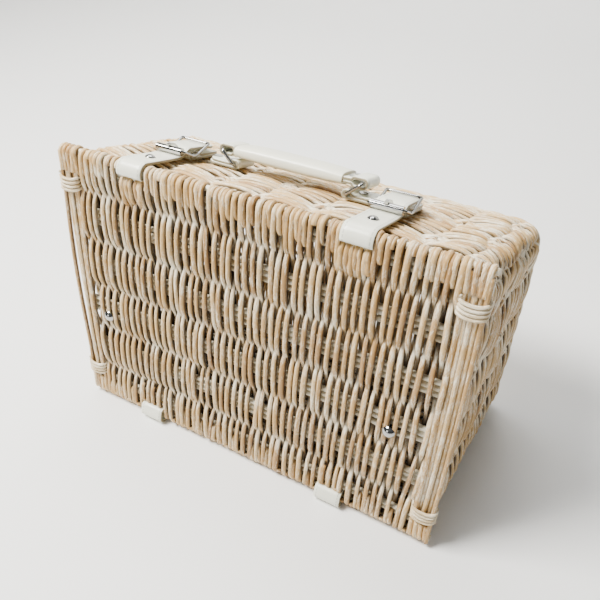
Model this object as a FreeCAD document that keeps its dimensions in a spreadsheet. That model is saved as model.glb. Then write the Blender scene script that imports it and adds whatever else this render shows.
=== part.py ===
import FreeCAD, Part
import math
import os

import Sketcher

# Whitewashed willow picnic hamper with leather straps, standing on its hinge wall.
# Three local frames are used, all with X along the hamper's length:
#   lid frame    Y into the hamper, Z up the lid, origin at the lid's lower front edge
#   wall frame   Y down the handle wall's outer face, Z square to it, origin above the lid's front
#   floor frame  Y and Z as in the finished part
# Every sub-part is drawn in one of them and its Placement carries it to the finished part.

Vector = FreeCAD.Vector
Rotation = FreeCAD.Rotation
Placement = FreeCAD.Placement
X_AXIS = Vector(1, 0, 0)
Y_AXIS = Vector(0, 1, 0)
Z_AXIS = Vector(0, 0, 1)
SIDES = (("left", -1), ("right", 1))

DIMENSIONS = (
    # lid
    ("lean_angle", 11.2),
    ("lid_width", 340),
    ("lid_low", 3.25),
    ("lid_top", 249),
    ("lid_thickness", 13),
    ("lid_weave_width", 304),
    ("lid_edge_radius", 6.4),
    ("stick_diameter", 4.4),
    ("stick_pitch", 5),
    ("stick_hole_play", 0.2),
    ("side_rod_diameter", 4.2),
    ("side_rod_pitch", 5),
    ("side_rod_first", 157.5),
    ("side_rod_depth", 2.1),
    ("lashing_height", 13),
    ("lashing_high", 218.7),
    ("lashing_low", 35.5),
    ("cane", 2.1),
    ("row_first", 63.2),
    ("row_pitch", 43.2),
    ("cross_stick_length", 322),
    ("stud_row_drop", 9),
    ("stud_x", 131.5),
    ("stud_height", 101.35),
    ("stud_head", 10),
    ("stud_dome", 2.8),
    ("shank", 3),
    # case
    ("lid_gap", 0.8),
    ("rim_depth", 6),
    ("case_depth", 158),
    ("wall_line", 248.4),
    ("mouth_half", 167),
    ("base_half", 178),
    ("wall", 9),
    ("base_thickness", 8),
    ("base_row_first", 60),
    ("base_row_pitch", 22),
    ("corner", 21),
    ("inner_corner", 13),
    ("stake_diameter", 4),
    ("post_diameter", 6),
    # leather
    ("hardware_x", -5.8),
    ("strap_width", 23),
    ("leather", 2.2),
    ("strap_x", 91),
    ("hinge_axis_y", 6.5),
    ("hinge_axis_z", 9.75),
    ("edge_axis_z", 242.5),
    ("notch_radius", 5.65),
    ("notch_width", 23.8),
    ("hinge_leaf_end", 43),
    # buckle
    ("roller_s", 46),
    ("roller_n", 8),
    ("centre_s", 61),
    ("centre_n", 4),
    ("rear_s", 78),
    ("rear_n", 12.4),
    ("wire", 2.8),
    ("wire_bore", 2.96),
    ("prong_width", 2.6),
    ("roller_diameter", 6),
    ("roller_length", 24),
    ("arm_inner", 12.6),
    ("arm_width", 3),
    ("fold_s", 9.5),
    ("strap_stud_s", 23.5),
    ("tongue_slot_s", 58.3),
    ("tongue_slot_length", 14.5),
    ("tongue_slot_width", 4.4),
    ("tab_layer_end", 94),
    ("strap_tip", 91),
    ("tab_tip", 102),
    # handle
    ("handle_x", -2),
    ("handle_s", 79),
    ("ring_x", 48),
    ("ring_n", 4),
    ("ring_length", 28.5),
    ("ring_height", 15.2),
    ("ring_lean", 50),
    ("handle_tab_width", 24),
    ("handle_tab_reach", 75.4),
    ("inner_rivet_x", 57.2),
    ("outer_rivet_x", 71.5),
    ("handle_reach", 63.65),
    ("eye_start", 50.5),
    ("core_width", 24),
    ("core_thickness", 8.6),
    ("core_flat", 4.9),
    ("core_rivet_x", 48),
    ("void_inner", 52.6),
    ("void_length", 8.85),
    ("void_height", 4.2),
    ("grip_left", 50.2),
    ("grip_right", 43.8),
    ("grip_width", 26),
    ("grip_thickness", 11.8),
    ("grip_play", 0.2),
    ("rivet_head", 0.7),
)

doc = FreeCAD.newDocument("picnic_hamper")
dims = doc.addObject("Spreadsheet::Sheet", "dims")
for row, (alias, value) in enumerate(DIMENSIONS, start=1):
    dims.set("A%d" % row, alias)
    dims.set("B%d" % row, str(value))
    dims.setAlias("B%d" % row, alias)
doc.recompute()


def size(alias):
    return float(dims.get(alias))


LEAN = size("lean_angle")
TAPER = math.tan(math.radians(LEAN))
LEATHER = size("leather")
HALF_LEATHER = LEATHER / 2
THICK = size("lid_thickness")
TILT = Placement(Vector(0, 0, 0), Rotation(X_AXIS, -LEAN))
WALL = Placement(Vector(0, 0, size("wall_line")), Rotation(X_AXIS, -LEAN))
LID_FRAME = TILT
WALL_FRAME = TILT.multiply(WALL)
FLOOR_FRAME = Placement()

pieces = []


def strap_x(side):
    """Where the left or right strap's centre line lies along the hamper."""
    return size("hardware_x") + side * size("strap_x")


def stud_x(side):
    return size("hardware_x") + side * size("stud_x")


def keep(shape_object, label, frame, at=Vector(0, 0, 0)):
    """Name a finished sub-part and note where its local frame goes."""
    shape_object.Label = label
    pieces.append((shape_object, frame.multiply(Placement(at, Rotation()))))
    return shape_object


# ---- sketching and feature helpers ------------------------------------------------

def plane_of(body, role):
    return next(item for item in body.Origin.OriginFeatures if item.Role == role)


def sketch_on(body, role, offset=0.0):
    sketch = body.newObject("Sketcher::SketchObject", body.Name + "_sketch")
    sketch.AttachmentSupport = (plane_of(body, role), [""])
    sketch.MapMode = "FlatFace"
    sketch.AttachmentOffset = Placement(Vector(0, 0, offset), Rotation())
    return sketch


def rectangle(sketch, low_u, high_u, low_v, high_v):
    """A rectangle whose four sides are bound to expressions."""
    corners = [Vector(0, 0, 0), Vector(1, 0, 0), Vector(1, 1, 0), Vector(0, 1, 0)]
    first = sketch.GeometryCount
    for index in range(4):
        sketch.addGeometry(Part.LineSegment(corners[index], corners[(index + 1) % 4]))
    for index in range(4):
        sketch.addConstraint(Sketcher.Constraint(
            "Coincident", first + index, 2, first + (index + 1) % 4, 1))
    for index in (0, 2):
        sketch.addConstraint(Sketcher.Constraint("Horizontal", first + index))
    for index in (1, 3):
        sketch.addConstraint(Sketcher.Constraint("Vertical", first + index))
    bounds = (("DistanceX", 0, low_u, 0.0), ("DistanceX", 2, high_u, 1.0),
              ("DistanceY", 0, low_v, 0.0), ("DistanceY", 2, high_v, 1.0))
    for kind, line, expression, start in bounds:
        constraint = sketch.addConstraint(Sketcher.Constraint(kind, -1, 1, first + line, 1, start))
        sketch.setExpression("Constraints[%d]" % constraint, expression)


def rounded_rectangle(sketch, start, bounds, radius):
    """A rectangle with equal round corners, drawn at start's numbers and bound to expressions."""
    left, right, low, high, bend = start
    centres = [(right - bend, low + bend), (right - bend, high - bend),
               (left + bend, high - bend), (left + bend, low + bend)]
    quarter = math.pi / 2
    arcs = []
    for index, (u, v) in enumerate(centres):
        circle = Part.Circle(Vector(u, v, 0), Z_AXIS, bend)
        arcs.append(Part.ArcOfCircle(circle, (index - 1) * quarter, index * quarter))
    for index in range(4):
        sketch.addGeometry(arcs[index])
        sketch.addGeometry(Part.LineSegment(arcs[index].EndPoint, arcs[(index + 1) % 4].StartPoint))
    for index in range(4):
        arc, line, after = 2 * index, 2 * index + 1, (2 * index + 2) % 8
        sketch.addConstraint(Sketcher.Constraint("Tangent", arc, 2, line, 1))
        sketch.addConstraint(Sketcher.Constraint("Tangent", line, 2, after, 1))
        upright = "Vertical" if index in (0, 2) else "Horizontal"
        sketch.addConstraint(Sketcher.Constraint(upright, line))
    for index in (2, 4, 6):
        sketch.addConstraint(Sketcher.Constraint("Equal", 0, index))
    sizing = [sketch.addConstraint(Sketcher.Constraint("Radius", 0, bend))]
    for kind, line, value in (("DistanceX", 5, left), ("DistanceX", 1, right),
                              ("DistanceY", 7, low), ("DistanceY", 3, high)):
        sizing.append(sketch.addConstraint(Sketcher.Constraint(kind, -1, 1, line, 1, value)))
    for constraint, expression in zip(sizing, [radius] + list(bounds)):
        sketch.setExpression("Constraints[%d]" % constraint, expression)


def pad(body, sketch, length):
    """Pad the sketch half of length to each side of its plane."""
    feature = body.newObject("PartDesign::Pad", body.Name + "_pad")
    feature.Profile = sketch
    feature.setExpression("Length", length)
    feature.SideType = "Symmetric"
    return feature


def pocket(body, sketch, length):
    """Cut the sketch out, half of length to each side of its plane."""
    feature = body.newObject("PartDesign::Pocket", body.Name + "_pocket")
    feature.Profile = sketch
    feature.setExpression("Length", length)
    feature.SideType = "Symmetric"
    return feature


def round_edges(body, radius, chosen):
    """Fillet the edges of the body's tip that chosen(edge) accepts."""
    doc.recompute()
    base = body.Tip
    names = ["Edge%d" % (index + 1) for index, edge in enumerate(base.Shape.Edges) if chosen(edge)]
    feature = body.newObject("PartDesign::Fillet", body.Name + "_fillet")
    feature.Base = (base, names)
    feature.setExpression("Radius", radius)
    return feature


def new_body(name):
    return doc.addObject("PartDesign::Body", name)


def along(edge, axis, cosine=0.999):
    ends = edge.Vertexes
    if len(ends) < 2:
        return False
    line = ends[1].Point.sub(ends[0].Point)
    return line.Length > 1e-6 and abs(line.normalize().dot(axis)) > cosine


def band(points, radii, thickness):
    """Closed outline of a strip of even thickness along a line with rounded corners."""
    points = [Vector(u, v, 0) for u, v in points]
    centre_line = []
    start = points[0]
    for before, corner, after, radius in zip(points, points[1:], points[2:], radii):
        run_in = corner.sub(before).normalize()
        run_out = after.sub(corner).normalize()
        turn = math.atan2(run_in.cross(run_out).z, run_in.dot(run_out))
        cut_back = radius * math.tan(abs(turn) / 2)
        entry = corner.sub(run_in * cut_back)
        leave = corner.add(run_out * cut_back)
        left = Vector(-run_in.y, run_in.x, 0) * math.copysign(1, turn)
        centre_line.append(("line", start, entry, None, 0))
        centre_line.append(("arc", entry, leave, entry.add(left * radius), turn))
        start = leave
    centre_line.append(("line", start, points[-1], None, 0))
    sides = []
    for shift in (thickness / 2, -thickness / 2):
        side = []
        for kind, first, last, centre, turn in centre_line:
            if kind == "line":
                run = last.sub(first)
                if run.Length < 1e-6:
                    continue
                normal = Vector(-run.y, run.x, 0).normalize() * shift
                side.append(Part.LineSegment(first.add(normal), last.add(normal)))
                continue
            radius = first.sub(centre).Length - shift * math.copysign(1, turn)
            from_angle = math.atan2(first.y - centre.y, first.x - centre.x)
            low, high = sorted((from_angle, from_angle + turn))
            circle = Part.Circle(centre, Z_AXIS, radius)
            side.append(Part.ArcOfCircle(circle, low, high))
        sides.append(side)

    def ends(edges, forward):
        curve = edges[0] if forward else edges[-1]
        return curve.StartPoint if forward else curve.EndPoint

    caps = [Part.LineSegment(ends(sides[0], forward), ends(sides[1], forward))
            for forward in (True, False)]
    return sides[0] + sides[1] + caps


def strip_body(name, role, points, radii, width, thickness=None):
    """A strap: the strip's outline padded evenly to both sides of the sketch plane."""
    body = new_body(name)
    sketch = sketch_on(body, role)
    for curve in band(points, radii, thickness or LEATHER):
        sketch.addGeometry(curve)
    pad(body, sketch, width)
    return body


def circles(sketch, centres, radius):
    for u, v in centres:
        sketch.addGeometry(Part.Circle(Vector(u, v, 0), Z_AXIS, radius))


def rod(name, length, diameter, at, axis=X_AXIS):
    """A straight rod centred on a point, bound to the sheet."""
    item = doc.addObject("Part::Cylinder", name)
    item.setExpression("Height", length)
    item.setExpression("Radius", diameter + " / 2")
    turn = Rotation(Z_AXIS, axis)
    item.Placement = Placement(at, turn)
    return item


def centred_rod(name, length, diameter, at, axis=X_AXIS):
    doc.recompute()
    item = rod(name, length, diameter, at, axis)
    doc.recompute()
    item.Placement = Placement(at.sub(axis * (float(item.Height) / 2)), Rotation(Z_AXIS, axis))
    return item


def group(name, members):
    bundle = doc.addObject("Part::Compound", name)
    bundle.Links = members
    return bundle


def cut(name, base, tools):
    result = doc.addObject("Part::Cut", name)
    result.Base = base
    result.Tool = tools[0] if len(tools) == 1 else group(name + "_tools", tools)
    return result


# ---- lid ---------------------------------------------------------------------------

MID = THICK / 2
CUT_THROUGH = "60"
LEATHER_HOLE = size("shank") / 2 + 0.05
STUD_ROW = 1
CROSS_HEIGHTS = []
for row in range(4):
    middle_stick = size("row_first") + size("row_pitch") * row
    drop = size("stud_row_drop") if row == STUD_ROW else size("stick_pitch")
    CROSS_HEIGHTS += [middle_stick - drop, middle_stick, middle_stick + size("stick_pitch")]
LOWER_BORDER = [size("hinge_axis_z") + shift for shift in (-2.5, 9.5, 14.5)]
UPPER_BORDER = [size("edge_axis_z") + shift for shift in (2.5, -6.8, -11.8)]
LOWER_SLOT = size("hinge_axis_z") + 5.5
UPPER_SLOT = size("edge_axis_z") - 3
SLOT_HALF = LEATHER / 2 + 0.3


def edge_notch(body, offset, axis_z, slot_z, upward):
    """Clear the rods away where leather goes round an edge of the lid and in through the weave."""
    radius = size("notch_radius")
    far = axis_z + upward * 12
    profile = [Vector(MID - radius, axis_z, 0), Vector(-6, axis_z, 0), Vector(-6, far, 0),
               Vector(THICK + 6, far, 0), Vector(THICK + 6, axis_z, 0), Vector(MID + radius, axis_z, 0)]
    around = sketch_on(body, "YZ_Plane", offset)
    for first, last in zip(profile, profile[1:]):
        around.addGeometry(Part.LineSegment(first, last))
    circle = Part.Circle(Vector(MID, axis_z, 0), Z_AXIS, radius)
    angles = (0, math.pi) if upward > 0 else (math.pi, 2 * math.pi)
    around.addGeometry(Part.ArcOfCircle(circle, *angles))
    pocket(body, around, "dims.notch_width")
    groove_end = slot_z - upward * SLOT_HALF
    slot_start = slot_z + upward * SLOT_HALF
    for low_y, high_y, one, other in ((-6, MID - radius, axis_z, groove_end),
                                      (-6, THICK + 6, slot_start, groove_end)):
        low, high = sorted((one, other))
        opening = sketch_on(body, "YZ_Plane", offset)
        rectangle(opening, "%.3f" % low_y, "%.3f" % high_y, "%.3f" % low, "%.3f" % high)
        pocket(body, opening, "dims.notch_width")


def lid_weave():
    body = new_body("lid_weave")
    outline = sketch_on(body, "YZ_Plane")
    rectangle(outline, "0", "dims.lid_thickness", "dims.lid_low", "dims.lid_top")
    pad(body, outline, "dims.lid_weave_width")
    round_edges(body, "dims.lid_edge_radius", lambda edge: along(edge, X_AXIS))
    for _, side in SIDES:
        edge_notch(body, strap_x(side), size("hinge_axis_z"), LOWER_SLOT, -1)
        edge_notch(body, strap_x(side), size("edge_axis_z"), UPPER_SLOT, 1)
    stick_holes = sketch_on(body, "YZ_Plane")
    hole_radius = (size("stick_diameter") + size("stick_hole_play")) / 2
    heights = LOWER_BORDER + UPPER_BORDER + CROSS_HEIGHTS
    circles(stick_holes, [(MID, height) for height in heights], hole_radius)
    pocket(body, stick_holes, "dims.lid_width")
    stud_holes = sketch_on(body, "XZ_Plane")
    centres = [(stud_x(side), size("stud_height")) for _, side in SIDES]
    circles(stud_holes, centres, size("shank") / 2 + 0.1)
    pocket(body, stud_holes, "4 * dims.lid_thickness")
    return body


keep(lid_weave(), "lid_weave", LID_FRAME)


def lid_sticks(name, heights, length):
    members = [centred_rod("%s_%d" % (name, index), length, "dims.stick_diameter",
                           Vector(0, MID, height)) for index, height in enumerate(heights)]
    return keep(group(name, members), name, LID_FRAME)


lid_sticks("lid_bottom_border_sticks", LOWER_BORDER, "dims.lid_width")
lid_sticks("lid_top_border_sticks", UPPER_BORDER, "dims.lid_width")
lid_sticks("lid_cross_sticks", CROSS_HEIGHTS, "dims.cross_stick_length")

for side_name, side in SIDES:
    name = "lid_side_rods_" + side_name
    rods = [centred_rod("%s_%d" % (name, index), "dims.lid_top - dims.lid_low - 4",
                        "dims.side_rod_diameter",
                        Vector(side * (size("side_rod_first") + index * size("side_rod_pitch")),
                               size("side_rod_depth"),
                               (size("lid_low") + size("lid_top")) / 2), Z_AXIS)
            for index in range(3)]
    keep(group(name, rods), name, LID_FRAME)


def lashing(name):
    """Four turns of split cane round the three side rods, as one flat collar."""
    body = new_body(name)
    outline = sketch_on(body, "XY_Plane")
    half = "(dims.side_rod_pitch + dims.side_rod_diameter / 2 + 0.2)"
    rectangle(outline, "-%s - dims.cane" % half, "%s + dims.cane" % half,
              "-dims.cane - 0.2", "dims.side_rod_diameter + 0.1 + dims.cane")
    pad(body, outline, "dims.lashing_height")
    round_edges(body, "dims.cane", lambda edge: along(edge, Z_AXIS))
    inside = sketch_on(body, "XY_Plane")
    rectangle(inside, "-" + half, half, "-0.2", "dims.side_rod_diameter + 0.1")
    pocket(body, inside, "2 * dims.lashing_height")
    return body


LASHING_X = size("side_rod_first") + size("side_rod_pitch")
for side_name, side in SIDES:
    for level, alias in (("top", "lashing_high"), ("bottom", "lashing_low")):
        name = "lid_lashing_%s_%s" % (level, side_name)
        keep(lashing(name), name, LID_FRAME, Vector(side * LASHING_X, 0, size(alias)))


def domed_stud(name, head, dome, shank_length):
    """A domed head on a plain shank, turned about the Y axis with the shank running to +Y."""
    body = new_body(name)
    sketch = sketch_on(body, "XY_Plane")
    half = size("shank") / 2
    rim = Vector(head / 2, 0, 0)
    sphere_radius = (head * head / 4 + dome * dome) / (2 * dome)
    centre = Vector(0, sphere_radius - dome, 0)
    crown = Vector(0, -dome, 0)
    low = math.atan2(crown.y - centre.y, 0)
    high = math.atan2(rim.y - centre.y, rim.x)
    sketch.addGeometry(Part.ArcOfCircle(Part.Circle(centre, Z_AXIS, sphere_radius), low, high))
    corners = [rim, Vector(half, 0, 0), Vector(half, shank_length, 0), Vector(0, shank_length, 0), crown]
    for first, last in zip(corners, corners[1:]):
        sketch.addGeometry(Part.LineSegment(first, last))
    turned = body.newObject("PartDesign::Revolution", name + "_turned")
    turned.Profile = sketch
    turned.ReferenceAxis = (plane_of(body, "Y_Axis"), [""])
    turned.Angle = 360
    return body


PLATE_STRAP_START = THICK + 0.4
WASHER = 1.2
for side_name, side in SIDES:
    name = "lid_stud_" + side_name
    stud = domed_stud(name, size("stud_head"), size("stud_dome"),
                      PLATE_STRAP_START + LEATHER + WASHER + 0.4)
    keep(stud, name, LID_FRAME, Vector(stud_x(side), -0.1, size("stud_height")))


def ring_washer(name, centre, outer, bore, thickness):
    body = doc.addObject("Part::Cylinder", name + "_disc")
    body.Radius = outer
    body.Height = thickness
    hole = doc.addObject("Part::Cylinder", name + "_bore")
    hole.Radius = bore
    hole.Height = thickness
    washer = cut(name, body, [hole])
    washer.Placement = Placement(centre, Rotation(Z_AXIS, Y_AXIS))
    return washer


washers = [ring_washer("stud_washer_" + side_name,
                       Vector(stud_x(side), PLATE_STRAP_START + LEATHER + 0.1,
                              size("stud_height")), 4.5, 1.55, WASHER)
           for side_name, side in SIDES]
keep(group("lid_stud_washers", washers), "lid_stud_washers", LID_FRAME)


def plate_strap():
    body = new_body("plate_strap")
    outline = sketch_on(body, "XZ_Plane", -(PLATE_STRAP_START + HALF_LEATHER))
    rectangle(outline, "dims.hardware_x - dims.stud_x - 9", "dims.hardware_x + dims.stud_x + 9",
              "dims.stud_height - 9", "dims.stud_height + 9")
    pad(body, outline, "dims.leather")
    round_edges(body, "8", lambda edge: along(edge, Y_AXIS))
    holes = sketch_on(body, "XZ_Plane", -PLATE_STRAP_START)
    centres = [(stud_x(side), size("stud_height")) for _, side in SIDES]
    circles(holes, centres, LEATHER_HOLE)
    pocket(body, holes, "8 * dims.leather")
    return body


keep(plate_strap(), "plate_strap", LID_FRAME)

# ---- case --------------------------------------------------------------------------


def outline_at(depth, inset):
    """Half length, lower and upper height of the case's outline at a depth."""
    share = depth / size("case_depth")
    half = size("mouth_half") + (size("base_half") - size("mouth_half")) * share - inset
    low = depth * TAPER + inset
    high = size("wall_line") - depth * TAPER - inset
    return half, low, high


def tapered_block(body, near, far, inset, corner):
    """Loft between two round-cornered rectangles inside the case's tapering outline."""
    sections = []
    for depth in (near, far):
        section = sketch_on(body, "XZ_Plane", -depth)
        start_half, start_low, start_high = outline_at(depth, inset)
        half = "(dims.mouth_half + (dims.base_half - dims.mouth_half) * %.3f / dims.case_depth - %.3f)" % (
            depth, inset)
        low = "%.3f * tan(dims.lean_angle) + %.3f" % (depth, inset)
        high = "dims.wall_line - %.3f * tan(dims.lean_angle) - %.3f" % (depth, inset)
        rounded_rectangle(section, (-start_half, start_half, start_low, start_high, size(corner)),
                          ("-" + half, half, low, high), "dims." + corner)
        sections.append(section)
    loft = body.newObject("PartDesign::AdditiveLoft", body.Name + "_loft")
    loft.Profile = sections[0]
    loft.Sections = sections[1:]
    loft.Ruled = True
    return loft


def case_length(name, near, far):
    body = new_body(name)
    tapered_block(body, near, far, 0.0, "corner")
    return body


def case_cavity(name, near, far):
    body = new_body(name)
    tapered_block(body, near - 1, far + 1, size("wall"), "inner_corner")
    return body


MOUTH = THICK + size("lid_gap")
RIM_END = MOUTH + size("rim_depth")
BASE_START = size("case_depth") - size("base_thickness")
HALF_WALL = size("wall") / 2
OUTER_STAKE = 0.875
STANDING_PLANE = 0.1
STAKE_SPAN = (RIM_END + 1, BASE_START - 1)


def stake_places():
    """Places of the wall stakes as shares along the four walls, and the corner posts."""
    places = {"stake": [], "post": []}
    for wall_name, count in (("long", 8), ("end", 5)):
        for index in range(count):
            share = OUTER_STAKE * (2 * index / (count - 1) - 1)
            for side in (-1, 1):
                places["stake"].append((wall_name, side, share))
    for side in (-1, 1):
        for level in (-1, 1):
            places["post"].append(("corner", side, level))
    return places


def stake_point(place, depth):
    wall_name, side, share = place
    half, low, high = outline_at(depth, HALF_WALL)
    middle = (low + high) / 2
    rise = (high - low) / 2
    if wall_name == "long":
        return Vector(share * half, depth, middle + side * rise)
    if wall_name == "end":
        return Vector(side * half, depth, middle + share * rise)
    corner_inset = (size("corner") - HALF_WALL) * (1 - math.sqrt(0.5))
    return Vector(side * (half - corner_inset), depth, middle + share * (rise - corner_inset))


def wall_rod(name, place, diameter, span):
    start = stake_point(place, span[0])
    run = stake_point(place, span[1]).sub(start)
    item = doc.addObject("Part::Cylinder", name)
    item.Height = run.Length
    item.setExpression("Radius", "(%s) / 2" % diameter)
    item.Placement = Placement(start, Rotation(Z_AXIS, run))
    return item


def strap_groove(name, low_y, high_y):
    """The channel for a hinge strap in the face that the case stands on."""
    items = []
    for _, side in SIDES:
        box = doc.addObject("Part::Box", name)
        box.Length = size("notch_width")
        box.Width = high_y - low_y
        box.Height = LEATHER + 6
        corner = Vector(strap_x(side) - size("notch_width") / 2, low_y, LEATHER + 0.3 - box.Height.Value)
        box.Placement = TILT.inverse().multiply(Placement(corner, Rotation()))
        items.append(box)
    return items


PLACES = stake_places()


def floor_trim(name):
    """A thin slab under the case, so that the wall it stands on is one true plane."""
    slab = doc.addObject("Part::Box", name)
    slab.Length = 3 * size("lid_width")
    slab.Width = 3 * size("case_depth")
    slab.Height = 10
    corner = Vector(-slab.Length.Value / 2, -slab.Width.Value / 3, STANDING_PLANE - slab.Height.Value)
    slab.Placement = TILT.inverse().multiply(Placement(corner, Rotation()))
    return slab


rim = case_length("case_rim_outer", MOUTH, RIM_END)
rim_tools = [case_cavity("case_rim_cavity", MOUTH, RIM_END)]
rim_tools += [floor_trim("rim_floor")] + strap_groove("rim_groove", 5, size("hinge_leaf_end") + 0.3)
keep(cut("case_rim_border", rim, rim_tools), "case_rim_border", LID_FRAME)

walls = case_length("case_walls_outer", RIM_END, BASE_START)
stake_holes = []
for kind, diameter in (("stake", "dims.stake_diameter"), ("post", "dims.post_diameter")):
    rods = [wall_rod("case_%s_%d" % (kind, index), place, diameter, STAKE_SPAN)
            for index, place in enumerate(PLACES[kind])]
    stake_holes += [wall_rod("case_%s_hole_%d" % (kind, index), place, diameter + " + 0.2",
                             (RIM_END - 1, BASE_START + 1))
                    for index, place in enumerate(PLACES[kind])]
    label = "case_wall_stakes" if kind == "stake" else "case_corner_posts"
    keep(group(label, rods), label, LID_FRAME)
wall_tools = [case_cavity("case_walls_cavity", RIM_END, BASE_START)] + stake_holes
wall_tools += [floor_trim("wall_floor")] + strap_groove("wall_groove", 5, size("hinge_leaf_end") + 0.3)
keep(cut("case_wall_weave", walls, wall_tools), "case_wall_weave", LID_FRAME)

base = case_length("case_base_outer", BASE_START, size("case_depth"))
BASE_STICK_DEPTH = BASE_START + size("base_thickness") / 2
BASE_ROWS = [size("base_row_first") + size("base_row_pitch") * index for index in range(7)]
base_sticks = [centred_rod("case_base_stick_%d" % index, "2 * dims.base_half - 4", "dims.stick_diameter",
                           Vector(0, BASE_STICK_DEPTH, height)) for index, height in enumerate(BASE_ROWS)]
base_holes = [centred_rod("case_base_hole_%d" % index, "2 * dims.base_half + 10",
                          "(dims.stick_diameter + dims.stick_hole_play)",
                          Vector(0, BASE_STICK_DEPTH, height)) for index, height in enumerate(BASE_ROWS)]
keep(group("case_base_sticks", base_sticks), "case_base_sticks", LID_FRAME)
base_tools = base_holes + [floor_trim("base_floor")]
keep(cut("case_base_weave", base, base_tools), "case_base_weave", LID_FRAME)

# ---- leather hinges ----------------------------------------------------------------

AXIS_Y = size("hinge_axis_y") * math.cos(math.radians(LEAN)) + size("hinge_axis_z") * math.sin(
    math.radians(LEAN))
WRAP_RADIUS = size("notch_radius") + 0.15 + HALF_LEATHER
FRONT_Y = MID - WRAP_RADIUS

for side_name, side in SIDES:
    name = "hinge_case_leaf_" + side_name
    leaf = strip_body(name, "YZ_Plane", [(AXIS_Y + 0.4, HALF_LEATHER + 0.15),
                                         (size("hinge_leaf_end"), HALF_LEATHER + 0.15)],
                      [], "dims.strap_width")
    keep(leaf, name, FLOOR_FRAME, Vector(strap_x(side), 0, 0))
    name = "hinge_lid_leaf_" + side_name
    leaf = strip_body(name, "YZ_Plane", [(FRONT_Y, size("hinge_axis_z") + 0.2),
                                         (FRONT_Y, LOWER_SLOT),
                                         (THICK - 0.4, LOWER_SLOT)],
                      [1.6], "dims.strap_width")
    keep(leaf, name, LID_FRAME, Vector(strap_x(side), 0, 0))

RIVET_Y = size("hinge_leaf_end") - 8
hinge_rivets = [rod("hinge_rivet_%s" % side_name, "dims.wall + 3", "dims.shank",
                    Vector(strap_x(side), RIVET_Y, 0.3), Z_AXIS) for side_name, side in SIDES]
keep(group("hinge_rivets", hinge_rivets), "hinge_rivets", FLOOR_FRAME)

# ---- closure straps ----------------------------------------------------------------

lean = math.radians(LEAN)
EDGE_CENTRE_S = MID * math.cos(lean) - (size("edge_axis_z") - size("wall_line")) * math.sin(lean)
EDGE_CENTRE_N = MID * math.sin(lean) + (size("edge_axis_z") - size("wall_line")) * math.cos(lean)
STRAP_N = EDGE_CENTRE_N + WRAP_RADIUS
FOLD_S = size("fold_s")
FOLD_GAP = 0.4
LOOP_CORNER = (FRONT_Y, size("edge_axis_z") + WRAP_RADIUS * math.tan((math.pi / 2 + lean) / 2))
loop_end = WALL.multVec(Vector(0, FOLD_S - FOLD_GAP, STRAP_N))
UNDER_ROLLER_N = size("roller_n") - size("roller_diameter") / 2 - HALF_LEATHER - 0.35
OVER_CENTRE_N = 9.4


def tongue(name):
    """The strap's free part: under the roller, over the centre bar, under the rear bar."""
    route = [(FOLD_S + FOLD_GAP, STRAP_N), (size("roller_s") - 12, STRAP_N + 0.4),
             (size("roller_s") + 2.3, UNDER_ROLLER_N), (size("centre_s") - 5, OVER_CENTRE_N),
             (size("rear_s") - 2, OVER_CENTRE_N), (size("strap_tip"), OVER_CENTRE_N - 1)]
    body = strip_body(name, "YZ_Plane", route, [20, 5, 6, 20], "dims.strap_width")
    slot = sketch_on(body, "XY_Plane")
    rectangle(slot, "-dims.tongue_slot_width / 2", "dims.tongue_slot_width / 2",
              "dims.tongue_slot_s - dims.tongue_slot_length / 2",
              "dims.tongue_slot_s + dims.tongue_slot_length / 2")
    pocket(body, slot, CUT_THROUGH)
    stud_hole = sketch_on(body, "XY_Plane")
    circles(stud_hole, [(0, size("strap_stud_s"))], LEATHER_HOLE)
    pocket(body, stud_hole, CUT_THROUGH)
    pointed_end(body, size("strap_tip"), size("strap_width") / 2, 6)
    return body


def pointed_end(body, tip, half, slope):
    """Cut both corners off a strap's end."""
    corners = sketch_on(body, "XY_Plane")
    for side in (-1, 1):
        triangle = [Vector(side * half * 0.35, tip + 1, 0), Vector(side * (half + 1), tip + 1, 0),
                    Vector(side * (half + 1), tip - slope, 0)]
        for index in range(3):
            corners.addGeometry(Part.LineSegment(triangle[index], triangle[(index + 1) % 3]))
    pocket(body, corners, CUT_THROUGH)


for side_name, side in SIDES:
    at = Vector(strap_x(side), 0, 0)
    name = "closure_strap_loop_" + side_name
    loop = strip_body(name, "YZ_Plane", [(THICK - 0.4, UPPER_SLOT), (FRONT_Y, UPPER_SLOT), LOOP_CORNER,
                                         (loop_end.y, loop_end.z)],
                      [1.6, WRAP_RADIUS], "dims.strap_width")
    keep(loop, name, LID_FRAME, at)
    name = "strap_tongue_" + side_name
    keep(tongue(name), name, WALL_FRAME, at)
    name = "strap_stud_" + side_name
    stud = domed_stud(name, 8, 2, LEATHER + 0.9)
    turn = Placement(at.add(Vector(0, size("strap_stud_s"), STRAP_N + HALF_LEATHER + 0.5)),
                     Rotation(X_AXIS, -90))
    keep(stud, name, WALL_FRAME.multiply(turn))

# ---- buckles -----------------------------------------------------------------------

ROLLER_AT = (size("roller_s"), size("roller_n"))
CENTRE_AT = (size("centre_s"), size("centre_n"))
REAR_AT = (size("rear_s"), size("rear_n"))
FOLD_RADIUS = size("wire_bore") / 2 + HALF_LEATHER


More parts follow.
